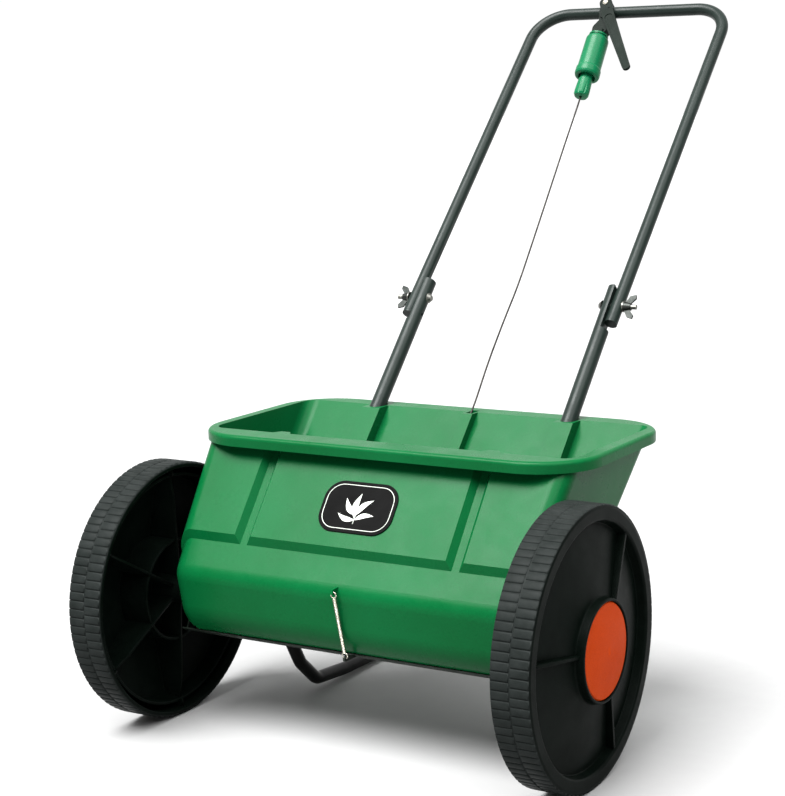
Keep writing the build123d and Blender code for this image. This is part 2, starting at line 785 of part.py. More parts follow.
def return_spring():
    """The long thin spring that holds the shutter shut: a close-wound body and two end rings."""
    top, bottom = Vector(*spring_top), Vector(*spring_bottom)
    along = (bottom - top).normalized()
    coil = rod(tuple(top + along * (2 * spring_ring)), tuple(bottom - along * (2 * spring_ring)), 2.2)
    across = along.cross(Vector(1, 0, 0)).normalized()
    rings = [Plane(origin=centre, x_dir=(1, 0, 0), z_dir=across) * Torus(spring_ring, spring_wire)
             for centre in (top + along * spring_ring, bottom - along * spring_ring)]
    return coil + rings[0] + rings[1]


# ---- stand ----
def stand():
    """One bent tube: two legs from the hopper, runners on the ground, a bar across the rear."""
    ground = stand_radius
    runner_start = (stand_x, 137.0, 15.5)
    runner_mid = (stand_x, 200.0, ground + 2.2)
    runner_end = (stand_x, 330.0, ground)
    half = [(stand_x, *stand_top), (stand_x, *stand_knee), runner_start, runner_mid, runner_end]
    other = [(-x, y, z) for x, y, z in reversed(half)]
    path = FilletPolyline(*(half + other), radius=[30, 22, 60, 30, 30, 60, 22, 30])
    bar = tube_along(path, stand_radius) - tube_along(path, stand_radius - stand_wall)
    uy, uz = stand_direction()
    for x in (-stand_x, stand_x):
        bar = bar - x_rod(x - 16, x + 16, stand_top[0] - uy * 12, stand_top[1] - uz * 12, stand_screw_radius)
    return bar


def stand_screws():
    """Two screws across the stand's sockets."""
    uy, uz = stand_direction()
    sy, sz = stand_top[0] - uy * 12, stand_top[1] - uz * 12
    solids = []
    for side in (-1, 1):
        x = side * stand_x
        shank = x_rod(x - 12.5, x + 12.5, sy, sz, stand_screw_radius)
        head = x_rod(x + side * 11.2, x + side * 13.8, sy, sz, 4.2)
        solids.append(shank + head)
    return Compound(solids)


# ---- axle, wheels and agitator ----
def axle():
    """The steel bar through both wheels and the hopper."""
    bar = x_rod(-axle_half, axle_half, 0, axle_height, axle_radius)
    return bar - agitator_pins() - drive_pin()


def axle_bush(side):
    """Flanged bush in the hopper's end boss. Its flange keeps the shutter's cheek in place."""
    sleeve = x_rod(side * 203, side * (boss_end_x + 0.4), 0, axle_height, bush_radius)
    flange = x_rod(side * boss_end_x, side * (boss_end_x + 2.6), 0, axle_height, 16.5)
    return (sleeve + flange) - x_rod(side * 200, side * 240, 0, axle_height, axle_radius + running_gap)


def agitator():
    """Sleeve on the axle with short stirring bars, each turned from the one before."""
    whole = x_rod(-198, 198, 0, axle_height, 8.0)
    count = 14
    for i in range(count):
        x = (i - (count - 1) / 2) * 27.0
        a = radians(60 * i + 20)
        p = (x, 37 * cos(a), axle_height + 37 * sin(a))
        q = (x, -37 * cos(a), axle_height - 37 * sin(a))
        whole = whole + rod(q, p, 2.6)
    return whole - x_rod(-200, 200, 0, axle_height, axle_radius) - agitator_pins()


def agitator_pins():
    """Two cross pins that make the agitator turn with the axle."""
    return Compound([rod((x, 0, axle_height - 9.2), (x, 0, axle_height + 9.2), 1.5) for x in (-193, 193)])


def tread_row(x1, x2, phase):
    """One row of the tread: a ring with bars across it, and shallow grooves between them."""
    pitch = 2 * pi / tread_teeth
    points = []
    for i in range(tread_teeth):
        bar = ((-0.44, tread_core), (-0.38, wheel_radius), (0.38, wheel_radius), (0.44, tread_core))
        for offset, radius in bar:
            angle = (i + phase + offset) * pitch
            points.append((radius * cos(angle), axle_height + radius * sin(angle)))
    return x_slab(points, x1, x2)


def wheel_section():
    """Half section (x, radius): a hollow rim, and a web that rises as a cone to the hub's cup."""
    x_in, x_out = wheel_inner_x, wheel_outer_x
    return [
        (x_in, 143.5), (x_in, 147.0), (x_in + 1.5, tread_core), (x_out - 1.2, tread_core),
        (x_out, 145.5), (x_out, 134.5), (x_out - 1.5, 132.5), (x_out - 10.5, 130.0),
        (x_out + 3.5, 57.0), (x_out + 4.5, 55.5), (x_out + 12.6, 54.6), (x_out + 13.4, 53.8),
        (x_out + 13.4, hub_bore), (hub_floor_x, hub_bore), (hub_floor_x, 5.5),
        (wheel_hub_x, 5.5), (wheel_hub_x, 15.0), (hub_floor_x - 3.0, 17.0),
        (hub_floor_x - 3.0, 54.6), (x_out + 0.4, 54.8), (x_out - 14.0, 130.6),
        (x_in + 9.0, 133.0), (x_in + 9.0, 136.5), (x_out - 5.0, 137.5), (x_out - 5.0, 143.0),
    ]


def wheel_rib(angle, outline, thickness):
    """A radial rib with an outline of (x, radius). The angle is from +Y towards +Z."""
    block = extrude(Polygon(*outline, align=None), thickness / 2, both=True)
    return Pos(0, 0, axle_height) * Rot(angle, 0, 0) * block


def wheel(side):
    """A moulded wheel. Its dished face is outside, and the ribbed side is towards the hopper."""
    x_in, x_out = wheel_inner_x, wheel_outer_x
    middle = (x_in + x_out) / 2
    body = revolve(make_face(Plane.XZ * Polyline(*wheel_section(), close=True)), Axis.X)
    body = Pos(0, 0, axle_height) * body
    # tread rows, half a pitch apart, with a shallow groove between them
    rows = tread_row(x_in + 1.5, middle - 0.9, 0.0) + tread_row(middle + 0.9, x_out - 1.2, 0.5)
    body = body + (rows - x_rod(x_in - 1, x_out + 1, 0, axle_height, tread_core - 2))
    front_rib = [(x_out - 12, 131.5), (x_out - 1, 131.5), (x_out + 9, 54.2), (x_out + 2, 54.2)]
    for angle in (52, 172, 292):
        body = body + wheel_rib(angle, front_rib, 4.0)
    # deeper ribs behind the web, on the hopper's side
    back_rib = [(x_in + 10, 132), (x_out - 12.5, 130), (x_out + 2, 56), (x_out - 10.5, 53),
                (x_out - 10.5, 14), (x_in + 2, 14), (x_in + 6, 110)]
    rim_rib = [(x_in + 6, 134), (x_out - 4, 134), (x_out - 4, 144), (x_in + 6, 144)]
    for angle in range(30, 390, 60):
        body = body + wheel_rib(angle, back_rib, 3.0) + wheel_rib(angle, rim_rib, 3.0)
    body = body + x_ring(x_in + 5.0, x_out + 1.0, 0, axle_height, 60.0, 57.0)
    body = body - x_rod(wheel_hub_x - 10, x_out, 0, axle_height, axle_radius + running_gap)
    if side > 0:
        # slot across the hub's inner end for the drive pin
        body = body - Pos(wheel_hub_x, 0, axle_height) * Box(8.0, 4.2, 60)
    return body if side > 0 else mirrored(body)


def hub_cap(side):
    """Slightly domed disc whose skirt stands on the floor of the hub's cup."""
    edge = wheel_outer_x + 12.6
    dome = 2.5
    radius = hub_bore - 0.5
    corner = radius - 1.5
    sphere_radius = (corner ** 2 + dome ** 2) / (2 * dome)
    half_way = (edge + dome - sphere_radius + sqrt(sphere_radius ** 2 - (corner / 2) ** 2), corner / 2)
    outline = [
        Polyline((edge + dome - 2.5, 0), (edge - 2.5, radius - 3), (hub_floor_x, radius - 3),
                 (hub_floor_x, radius), (edge - 1.5, radius), (edge, corner)),
        ThreePointArc((edge, corner), half_way, (edge + dome, 0)),
        Line((edge + dome, 0), (edge + dome - 2.5, 0)),
    ]
    cap = Pos(0, 0, axle_height) * revolve(make_face(Plane.XZ * Curve(outline)), Axis.X)
    return cap if side > 0 else mirrored(cap)


def axle_washer(side):
    """Washer between the wheel's hub and the push-on clip."""
    x = hub_floor_x
    return x_ring(side * (x + 0.05), side * (x + 1.6), 0, axle_height, 11.0, axle_radius + 0.1)


def axle_clip(side):
    """Push-on cap on the axle's end that keeps the wheel on."""
    x = hub_floor_x + 1.7
    ring = x_ring(side * x, side * (x + 1.2), 0, axle_height, 9.5, axle_radius)
    cap = x_rod(side * x, side * (x + 7.8), 0, axle_height, 6.6)
    return ring + (cap - x_rod(side * (x - 1), side * axle_half, 0, axle_height, axle_radius))


def drive_pin():
    """Cross pin in the axle that turns the right wheel."""
    x = wheel_hub_x + 1.8
    return rod((x, 0, axle_height - 14), (x, 0, axle_height + 14), 1.75)


def badge():
    """Plain raised plate on the middle panel, with a sprig of three leaves."""
    n = Vector(0, cos(radians(front_normal)), sin(radians(front_normal)))
    face = Vector(0, 0, axle_height) + n * (front_support + panel_raise)
    up = Vector(0, sin(radians(front_lean)), cos(radians(front_lean)))
    centre = face + up * ((badge_z - face.Z) / up.Z)
    plane = Plane(origin=centre, x_dir=(1, 0, 0), z_dir=n)
    plate = extrude(RectangleRounded(badge_width, badge_height, 22), 1.4)
    plate = fillet(plate.faces().sort_by(Axis.Z)[-1].edges(), 0.6)
    return plane * plate


# ---- build every piece, shift to the footprint's middle, and write ----
def build():
    parts = {
        "hopper": hopper(),
        "badge": badge(),
        "lower_tube_left": lower_tube(-1),
        "lower_tube_right": lower_tube(1),
        "tube_plug_left": tube_plug(-1),
        "tube_plug_right": tube_plug(1),
        "tube_screws": tube_screws(),
        "tube_nuts": tube_nuts(),
        "upper_handle": upper_handle(),
        "joint_bolt_left": joint_bolt(-1),
        "joint_bolt_right": joint_bolt(1),
        "joint_washer_left": joint_washer(-1),
        "joint_washer_right": joint_washer(1),
        "wing_nut_left": wing_nut(-1),
        "wing_nut_right": wing_nut(1),
        "lever_bracket": lever_bracket(),
        "bracket_screw": bracket_screw(),
        "lever": lever(),
        "lever_pin": lever_pin(),
        "lever_wire": lever_wire(),
        "adjuster_core": adjuster_core(),
        "adjuster_dial": adjuster_dial(),
        "adjuster_nut": adjuster_nut(),
        "control_wire": control_wire(),
        "wire_clip": wire_clip(),
        "wire_sleeve": wire_sleeve(),
        "shutter": shutter(),
        "return_spring": return_spring(),
        "stand": stand(),
        "stand_screws": stand_screws(),
        "axle": axle(),
        "axle_bush_left": axle_bush(-1),
        "axle_bush_right": axle_bush(1),
        "agitator": agitator(),
        "agitator_pins": agitator_pins(),
        "drive_pin": drive_pin(),
        "wheel_left": wheel(-1),
        "wheel_right": wheel(1),
        "hub_cap_left": hub_cap(-1),
        "hub_cap_right": hub_cap(1),
        "axle_washer_left": axle_washer(-1),
        "axle_washer_right": axle_washer(1),
        "axle_clip_left": axle_clip(-1),
        "axle_clip_right": axle_clip(1),
    }
    return parts


# the footprint runs from the front of the wheels to the rear of the lever's bracket
footprint_middle_y = (crossbar_y + bracket_ring_radius - wheel_radius) / 2

os.makedirs("parts", exist_ok=True)
for name, solid in build().items():
    export_step(as_shape(solid).moved(Pos(0, -footprint_middle_y, 0)), f"parts/{name}.step")
print("origin shift along Y (mm):", footprint_middle_y)
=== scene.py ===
"""Looks of a drop spreader for lawn feed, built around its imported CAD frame.

Lengths are in metres, in the row frame: X along the axle, -Y front, +Y the user's side, Z up and
the ground at z = 0.
"""
import json
import math

import bmesh
import bpy
from mathutils import Matrix, Vector


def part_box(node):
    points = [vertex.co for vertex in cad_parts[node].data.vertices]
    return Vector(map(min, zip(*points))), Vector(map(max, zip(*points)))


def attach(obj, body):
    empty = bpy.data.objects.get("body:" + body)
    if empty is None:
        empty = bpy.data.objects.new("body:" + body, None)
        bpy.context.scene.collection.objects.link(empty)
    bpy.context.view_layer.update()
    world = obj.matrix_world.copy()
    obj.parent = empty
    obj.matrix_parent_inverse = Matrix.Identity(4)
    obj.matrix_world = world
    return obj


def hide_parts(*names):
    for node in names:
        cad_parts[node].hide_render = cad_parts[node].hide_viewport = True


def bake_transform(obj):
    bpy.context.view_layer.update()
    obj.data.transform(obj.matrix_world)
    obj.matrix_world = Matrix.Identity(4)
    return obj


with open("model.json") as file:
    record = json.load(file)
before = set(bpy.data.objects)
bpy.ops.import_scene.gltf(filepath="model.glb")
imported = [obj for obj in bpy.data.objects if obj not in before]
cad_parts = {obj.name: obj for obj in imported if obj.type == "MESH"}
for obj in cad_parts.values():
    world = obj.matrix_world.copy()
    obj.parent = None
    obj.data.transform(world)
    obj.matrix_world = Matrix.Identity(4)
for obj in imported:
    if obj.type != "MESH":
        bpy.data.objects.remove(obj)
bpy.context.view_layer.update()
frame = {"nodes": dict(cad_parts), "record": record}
nodes = frame["nodes"]

MM = 0.001


# ---- places taken from the CAD frame ----
def middle(node):
    """The centre of a CAD node's box."""
    low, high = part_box(node)
    return (Vector(low) + Vector(high)) / 2


axle_centre = middle("axle")
wheel_low, wheel_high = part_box("wheel_right")
wheel_radius = axle_centre.z


def place(x, y, z):
    """A point from millimetres: x from the middle, y behind the axle, z above the ground."""
    return Vector((x * MM, axle_centre.y + y * MM, z * MM))


# ---- node materials ----
class Nodes:
    """A new material and short ways to add nodes to it. Spots are in metres on the object itself."""

    def __init__(self, name):
        self.material = bpy.data.materials.new(name)
        self.material.use_nodes = True
        self.tree = self.material.node_tree
        self.shader = self.tree.nodes["Principled BSDF"]
        self.spot = self.add("ShaderNodeTexCoord").outputs["Object"]

    def add(self, kind, **settings):
        """A new node of a kind, with its own settings."""
        node = self.tree.nodes.new(kind)
        for key, value in settings.items():
            setattr(node, key, value)
        return node

    def link(self, source, target):
        self.tree.links.new(source, target)

    def set(self, **values):
        """Constant values on the shader's own sockets."""
        for key, value in values.items():
            self.shader.inputs[key.replace("_", " ")].default_value = value

    def stretched(self, scale):
        """The spot on the object, scaled differently along each axis."""
        mapping = self.add("ShaderNodeMapping")
        mapping.inputs["Scale"].default_value = scale
        self.link(self.spot, mapping.inputs["Vector"])
        return mapping.outputs["Vector"]

    def distance_from_axle(self):
        """How far the spot is from the axle's line, in metres."""
        offset = self.add("ShaderNodeVectorMath", operation="SUBTRACT")
        self.link(self.spot, offset.inputs[0])
        offset.inputs[1].default_value = axle_centre
        radial = self.add("ShaderNodeVectorMath", operation="MULTIPLY")
        self.link(offset.outputs["Vector"], radial.inputs[0])
        radial.inputs[1].default_value = (0.0, 1.0, 1.0)
        length = self.add("ShaderNodeVectorMath", operation="LENGTH")
        self.link(radial.outputs["Vector"], length.inputs[0])
        return length.outputs["Value"]

    def noise(self, scale, detail=3.0, roughness=0.55, spot=None):
        """Cloudy noise, with a scale in cycles per metre."""
        node = self.add("ShaderNodeTexNoise")
        node.inputs["Scale"].default_value = scale
        node.inputs["Detail"].default_value = detail
        node.inputs["Roughness"].default_value = roughness
        self.link(spot or self.spot, node.inputs["Vector"])
        return node.outputs["Fac"]

    def cells(self, scale):
        """Distance to the nearest of many scattered points, scale of them to the metre."""
        node = self.add("ShaderNodeTexVoronoi")
        node.inputs["Scale"].default_value = scale
        self.link(self.spot, node.inputs["Vector"])
        return node.outputs["Distance"]

    def ramp(self, source, *stops):
        """Colours or greys along a value: each stop is (position, colour)."""
        node = self.add("ShaderNodeValToRGB")
        elements = node.color_ramp.elements
        while len(elements) < len(stops):
            elements.new(0.5)
        for element, (position, colour) in zip(elements, stops):
            element.position = position
            element.color = colour if len(colour) == 4 else (*colour, 1.0)
        self.link(source, node.inputs["Fac"])
        return node.outputs["Color"]

    def span(self, source, low, high, start=0.3, end=0.7):
        """A value carried from start..end onto low..high."""
        node = self.add("ShaderNodeMapRange")
        for key, value in (("From Min", start), ("From Max", end), ("To Min", low), ("To Max", high)):
            node.inputs[key].default_value = value
        self.link(source, node.inputs["Value"])
        return node.outputs["Result"]

    def mix(self, amount, first, second, blend="MIX"):
        """Two colours mixed by an amount; each of the three is a value or a socket."""
        node = self.add("ShaderNodeMix", data_type="RGBA", blend_type=blend)
        for socket, value in ((node.inputs[0], amount), (node.inputs[6], first), (node.inputs[7], second)):
            if isinstance(value, (int, float, tuple)):
                socket.default_value = value if not isinstance(value, tuple) else (*value[:3], 1.0)
            else:
                self.link(value, socket)
        return node.outputs[2]

    def bump(self, height, depth, strength=1.0, after=None):
        """A normal from a height and a depth in metres, on top of another normal."""
        node = self.add("ShaderNodeBump")
        node.inputs["Distance"].default_value = depth
        node.inputs["Strength"].default_value = strength
        self.link(height, node.inputs["Height"])
        if after is not None:
            self.link(after, node.inputs["Normal"])
        return node.outputs["Normal"]

    def colour(self, source):
        self.link(source, self.shader.inputs["Base Color"])

    def roughness(self, source):
        self.link(source, self.shader.inputs["Roughness"])

    def normal(self, source):
        self.link(source, self.shader.inputs["Normal"])


def moulded_plastic(name, dark, light, roughness, grain_size, grain_depth, specular):
    """Moulded plastic: cloudy colour, a fine grain from the mould, faint sinks and handling marks."""
    m = Nodes(name)
    clouds = m.noise(9.0, 4.0)
    specks = m.noise(650.0, 2.0)
    base = m.ramp(clouds, (0.3, dark), (0.7, light))
    fine = m.ramp(specks, (0.35, (0.90, 0.90, 0.90)), (0.65, (1.06, 1.06, 1.06)))
    m.colour(m.mix(1.0, base, fine, "MULTIPLY"))
    wear = m.noise(38.0, 6.0, 0.7)
    m.roughness(m.span(wear, roughness - 0.05, roughness + 0.08))
    grain = m.noise(1.0 / grain_size, 2.0)
    sinks = m.noise(22.0, 1.0)
    m.normal(m.bump(grain, grain_depth, after=m.bump(sinks, 0.0006, 0.35)))
    m.set(Specular_IOR_Level=specular)
    return m.material


def powder_coat(name, dark, light, roughness, metallic):
    """Paint with fine metal flakes and the slight ripple of a sprayed coat."""
    m = Nodes(name)
    flakes = m.cells(2600.0)
    clouds = m.noise(14.0, 3.0)
    base = m.ramp(clouds, (0.3, dark), (0.7, light))
    sparkle = m.ramp(flakes, (0.15, (1.35, 1.35, 1.35)), (0.5, (0.92, 0.92, 0.92)))
    m.colour(m.mix(1.0, base, sparkle, "MULTIPLY"))
    m.roughness(m.span(m.noise(60.0, 5.0), roughness - 0.06, roughness + 0.08))
    m.normal(m.bump(m.noise(420.0, 2.0), 0.00012, 0.7))
    m.set(Metallic=metallic, Specular_IOR_Level=0.15)
    return m.material


def worked_metal(name, dark, light, roughness, along=(1.0, 1.0, 1.0)):
    """Plated or drawn metal with fine marks, drawn out along one axis where along is not even."""
    m = Nodes(name)
    marks = m.noise(900.0, 4.0, 0.6, m.stretched(along))
    tarnish = m.noise(70.0, 5.0)
    m.colour(m.ramp(tarnish, (0.3, dark), (0.7, light)))
    m.roughness(m.span(marks, roughness - 0.08, roughness + 0.12))
    m.normal(m.bump(marks, 0.00004, 0.6))
    m.set(Metallic=1.0)
    return m.material


def wheel_plastic(name):
    """Black wheel plastic, clean on its faces; lighter round the tread, partly for dust and scuffs and partly
    as a painted sheen.
    """
    m = Nodes(name)
    dust = m.noise(55.0, 6.0, 0.65)
    clean = m.ramp(dust, (0.35, (0.0010, 0.0022, 0.0015)), (0.75, (0.0024, 0.0042, 0.0032)))
    # painted sheen: the tread's lighter colour is partly dust and scuffs, partly standing in for grazing
    # light on the low-specular tread
    tread_dust_and_sheen = m.ramp(dust, (0.30, (0.0085, 0.0105, 0.0098)), (0.70, (0.0150, 0.0175, 0.0168)))
    on_tread = m.span(m.distance_from_axle(), 0.0, 1.0, wheel_radius - 3.0 * MM, wheel_radius - 1.4 * MM)
    base = m.mix(on_tread, clean, tread_dust_and_sheen)
    specks = m.ramp(m.cells(900.0), (0.1, (1.3, 1.3, 1.3)), (0.4, (0.95, 0.95, 0.95)))
    m.colour(m.mix(1.0, base, specks, "MULTIPLY"))
    m.roughness(m.span(m.noise(24.0, 5.0), 0.36, 0.48))
    m.normal(m.bump(m.noise(1500.0, 2.0), 0.00006, 0.7, m.bump(m.noise(30.0, 1.0), 0.0005, 0.3)))
    m.set(Specular_IOR_Level=0.025)
    return m.material


def plastics():
    """The moulded plastics by slot: colours, roughness, grain size and depth, specular level.

    The levels are below a real plastic's, because everything round the object here is white.
    """
    kinds = {
        "hopper_plastic": ((0.0008, 0.064, 0.0155), (0.0012, 0.076, 0.0205), 0.28, 0.0008, 0.00004, 0.065),
        "badge_plate": ((0.001, 0.001, 0.001), (0.002, 0.002, 0.002), 0.50, 0.0006, 0.00001, 0.03),
        "sprig": ((0.50, 0.54, 0.48), (0.56, 0.60, 0.54), 0.30, 0.0006, 0.00001, 0.3),
        "black_plastic": ((0.002, 0.002, 0.002), (0.004, 0.004, 0.004), 0.45, 0.0008, 0.00006, 0.08),
        "grey_plastic": ((0.0012, 0.0040, 0.0022), (0.0030, 0.0075, 0.0048), 0.46, 0.0012, 0.00012, 0.05),
        "adjuster_plastic": ((0.001, 0.085, 0.030), (0.002, 0.105, 0.040), 0.30, 0.0008, 0.00003, 0.14),
        "bush_plastic": ((0.006, 0.006, 0.006), (0.010, 0.010, 0.010), 0.42, 0.0009, 0.00004, 0.2),
        "agitator_plastic": ((0.005, 0.006, 0.005), (0.009, 0.010, 0.009), 0.46, 0.0008, 0.00006, 0.2),
        "cap_plastic": ((0.330, 0.030, 0.0012), (0.400, 0.040, 0.0020), 0.46, 0.0010, 0.00008, 0.02),
    }
    return {slot: moulded_plastic(slot, *values) for slot, values in kinds.items()}


def paints():
    """The painted metals by slot: colours, roughness and how metallic they are."""
    kinds = {
        "tube_paint": ((0.006, 0.011, 0.009), (0.010, 0.016, 0.0135), 0.34, 0.0),
        "stand_paint": ((0.003, 0.003, 0.003), (0.006, 0.006, 0.006), 0.40, 0.0),
        "shutter_steel": ((0.005, 0.009, 0.006), (0.010, 0.014, 0.010), 0.42, 0.1),
    }
    return {slot: powder_coat(slot, *values) for slot, values in kinds.items()}


def metals():
    """The bare metals by slot: colours, roughness and, for the axle, which way its marks run."""
    kinds = {
        "fastener_steel": ((0.12, 0.12, 0.11), (0.20, 0.20, 0.18), 0.36),
        "wing_nut_metal": ((0.016, 0.018, 0.017), (0.045, 0.048, 0.045), 0.42),
        "bright_steel": ((0.46, 0.44, 0.36), (0.62, 0.60, 0.52), 0.24),
        "wire_steel": ((0.016, 0.015, 0.014), (0.040, 0.037, 0.034), 0.46),
        "axle_steel": ((0.30, 0.29, 0.27), (0.42, 0.41, 0.39), 0.36, (0.02, 1.0, 1.0)),
    }
    return {slot: worked_metal(slot, *values) for slot, values in kinds.items()}


materials = {
    **plastics(),
    **paints(),
    **metals(),
    "wheel_plastic": wheel_plastic("wheel_plastic"),
}


def give_material(obj, material):
    """The one material on every face of a piece."""
    obj.data.materials.clear()
    obj.data.materials.append(material)
    for face in obj.data.polygons:
        face.material_index = 0


def paint_frame():
    """Each CAD node gets the material of its slot in the record."""
    for entry in frame["record"]["subparts"]:
        give_material(nodes[entry["node"]], materials[entry["material_slot"]])


# ---- mesh pieces ----
def piece(name, mesh, slot, body, finish=None):
    """A new visible piece, with a slot's material or a finish of its own, riding on a body.

    A body of None leaves the piece on no body.
    """
    obj = bpy.data.objects.new(name, mesh)
    bpy.context.scene.collection.objects.link(obj)
    give_material(obj, materials[finish or slot])
    if body is not None:
        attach(obj, body)
    return obj


def mesh_from(name, vertices, faces):
    """A smooth-shaded mesh."""
    mesh = bpy.data.meshes.new(name)
    mesh.from_pydata([tuple(v) for v in vertices], [], faces)
    mesh.update()
    for face in mesh.polygons:
        face.use_smooth = True
    return mesh


def joined(parts):
    """Several pairs of (vertices, faces) as one."""
    vertices = []
    faces = []
    for more, more_faces in parts:
        shift = len(vertices)
        vertices.extend(more)
        faces.extend(tuple(index + shift for index in face) for face in more_faces)
    return vertices, faces


# how far a rounded corner reaches along its shorter side, and the points on its curve
corner_share = 0.45
corner_steps = 10


def rounded_route(points):
    """Points along a route, with each corner rounded off by an even curve."""
    points = [Vector(p) for p in points]
    route = [points[0]]
    for before, corner, after in zip(points, points[1:], points[2:]):
        reach = corner_share * min((corner - before).length, (after - corner).length)
        start = corner + (before - corner).normalized() * reach
        end = corner + (after - corner).normalized() * reach
        for i in range(corner_steps + 1):
            t = i / corner_steps
            route.append(start.lerp(corner, t).lerp(corner.lerp(end, t), t))
    route.append(points[-1])
    return route


def even_steps(route, step):
    """The route again, as points an even step apart."""
    spaced = [route[0]]
    carried = 0.0
    for a, b in zip(route, route[1:]):
        length = (b - a).length
        if length < 1e-9:
            continue
        at = step - carried
        while at <= length:
            spaced.append(a.lerp(b, at / length))
            at += step
        carried = length - (at - step)
    if (spaced[-1] - route[-1]).length > step * 0.25:
        spaced.append(route[-1])
    else:
        spaced[-1] = route[-1]
    return spaced


def sweep(route, section, twist=0.0):
    """A closed tube along a route. The section gives a radius at an angle; twist is in turns per metre."""
    count = len(section)
    vertices = []
    faces = []
    side = None
    travelled = 0.0
    for i, point in enumerate(route):
        ahead = route[min(i + 1, len(route) - 1)] - route[max(i - 1, 0)]
        ahead = ahead.normalized()
        if side is None:
            side = ahead.orthogonal().normalized()
        side = (side - ahead * side.dot(ahead)).normalized()
        other = ahead.cross(side)
        if i:
            travelled += (point - route[i - 1]).length
        turn = 2 * math.pi * twist * travelled
        for k, radius in enumerate(section):
            angle = 2 * math.pi * k / count + turn
            vertices.append(point + (side * math.cos(angle) + other * math.sin(angle)) * radius)
        if i:
            start = (i - 1) * count
            for k in range(count):
                following = (k + 1) % count
                faces.append((start + k, start + following, start + count + following, start + count + k))
    faces.append(tuple(reversed(range(count))))
    faces.append(tuple(range(len(vertices) - count, len(vertices))))
    return vertices, faces


wire_strands = 6
points_per_strand = 4


def stranded(radius):
    """The section of a twisted wire: one lobe for each strand."""
    section = []
    for k in range(wire_strands * points_per_strand):
        lobe = abs(math.cos(math.pi * k / points_per_strand))
        section.append(radius * (0.86 + 0.14 * lobe))
    return section


def round_section(radius, count):
    """The section of a plain round bar."""
    return [radius] * count


# ---- wires and spring ----
wire_radius = 1.2 * MM
lever_wire_radius = 0.9 * MM
# one turn of the strands in this length, and the spacing of the mesh along a wire, in metres
strand_lay = 0.014
wire_step = 0.0015
# the rear channel's lean and the floor run's rise, and each line's distance from the axle
channel_lean = math.radians(43.5)
channel_support = 0.068
floor_rise = math.radians(37.6)
floor_support = 0.0495


def adjuster_point(distance):
    """A point on the adjuster's axis, at a distance in metres below its top."""
    top = place(-41, 727, 783)
    foot = place(-41, 666, 700)
    return top + (foot - top).normalized() * distance


wire_route = [
    adjuster_point(0.084),
    adjuster_point(0.112),
    place(-36, 600, 632),
    place(-30, 540, 573),
    place(-24, 486, 522),
    place(-19, 433, 470),
    place(-13, 376, 426),
    place(-5, 322, 386),
]


def channel_point(z):
    """A point on the wire's run down the rear channel, which leans back by the rear wall's angle."""
    y = (channel_support + math.sin(channel_lean) * (z - axle_centre.z)) / math.cos(channel_lean)
    return Vector((0.0, y + axle_centre.y, z))


def floor_point(y):
    """A point on the wire's run under the floor, at a distance behind the axle."""
    z = (y * math.sin(floor_rise) - floor_support) / math.cos(floor_rise)
    return Vector((0.0, y + axle_centre.y, axle_centre.z + z))


def wire_piece(name, route, radius):
    """A twisted wire along a route, not yet on a body."""
    vertices, faces = sweep(even_steps(route, wire_step), stranded(radius), 1 / strand_lay)
    return piece(name, mesh_from(name, vertices, faces), "wire_steel", None)


def control_wires():
    """The control wire as three spans, end to end: to the handle, in the channel, to the shutter."""
    upper_end = channel_point(0.330)
    lower_end = channel_point(0.215)
    upper_route = rounded_route(wire_route + [channel_point(0.345), upper_end])
    upper = wire_piece("control_wire_upper", upper_route, wire_radius)
    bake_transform(upper)
    channel = wire_piece("control_wire_channel", [upper_end, lower_end], wire_radius)
    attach(channel, "frame")
    bend = rounded_route([lower_end, channel_point(0.204), floor_point(0.100), floor_point(0.027)])
    lower = wire_piece("control_wire_lower", bend, wire_radius)
    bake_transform(lower)
    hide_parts("control_wire")


def lever_wire():
    """The short wire from the adjuster, past the front of the crossbar, into the lever."""
    along = (adjuster_point(1.0) - adjuster_point(0.0)).normalized()
    front = Vector((0.0, along.z, -along.y))
    # on the lever's plane: across and up from the crossbar's axis, and in front of it
    post = place(-41, 751.8, 814.5) + Vector((10.5 * MM, 0, 0)) - along * (-2.5 * MM)
    turn = post + front * (9.3 * MM)
    end = post + front * (14.6 * MM)
    route = rounded_route([adjuster_point(0.024), adjuster_point(-0.002), turn, end])
    wire = wire_piece("lever_wire_stranded", route, lever_wire_radius)
    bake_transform(wire)
    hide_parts("lever_wire")


def spring():
    """The close-wound return spring, with a ring at each end."""
    wire = 0.45 * MM
    coil_radius = 1.75 * MM
    ring_radius = 3.2 * MM
    ring_wire = 0.8 * MM
    top = place(2, -52, 189)
    bottom = place(10, -43.5, 114)
    along = (bottom - top).normalized()
    across = along.cross(Vector((1, 0, 0))).normalized()
    side = across.cross(along)
    start = top + along * (2 * ring_radius - ring_wire)
    length = (bottom - top).length - 2 * (2 * ring_radius - ring_wire)
    turns = round(length / (2.1 * wire))
    steps = 14
    route = []
    for i in range(turns * steps + 1):
        angle = 2 * math.pi * i / steps
        centre = start + along * (length * i / (turns * steps))
        route.append(centre + (side * math.cos(angle) + across * math.sin(angle)) * coil_radius)
    parts = [sweep(route, round_section(wire, 6))]
    for centre in (top + along * ring_radius, bottom - along * ring_radius):
        loop = []
        for i in range(25):
            angle = 2 * math.pi * i / 24
            loop.append(centre + (side * math.cos(angle) + along * math.sin(angle)) * ring_radius)
        parts.append(sweep(loop, round_section(ring_wire, 8)))
    obj = piece("spring_coils", mesh_from("spring_coils", *joined(parts)), "bright_steel", None)
    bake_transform(obj)
    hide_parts("return_spring")


# ---- badge ----
badge_lean = math.radians(38.0)
# (root, direction in degrees, length, width) of each leaf, in millimetres on the badge
leaves = (
    (0, -13, 90, 30, 9),
    (0, -9, 48, 26, 8),
    (0, -9, 132, 26, 8),
    (0, -15, 16, 24, 7),
    (0, -15, 164, 24, 7),
)
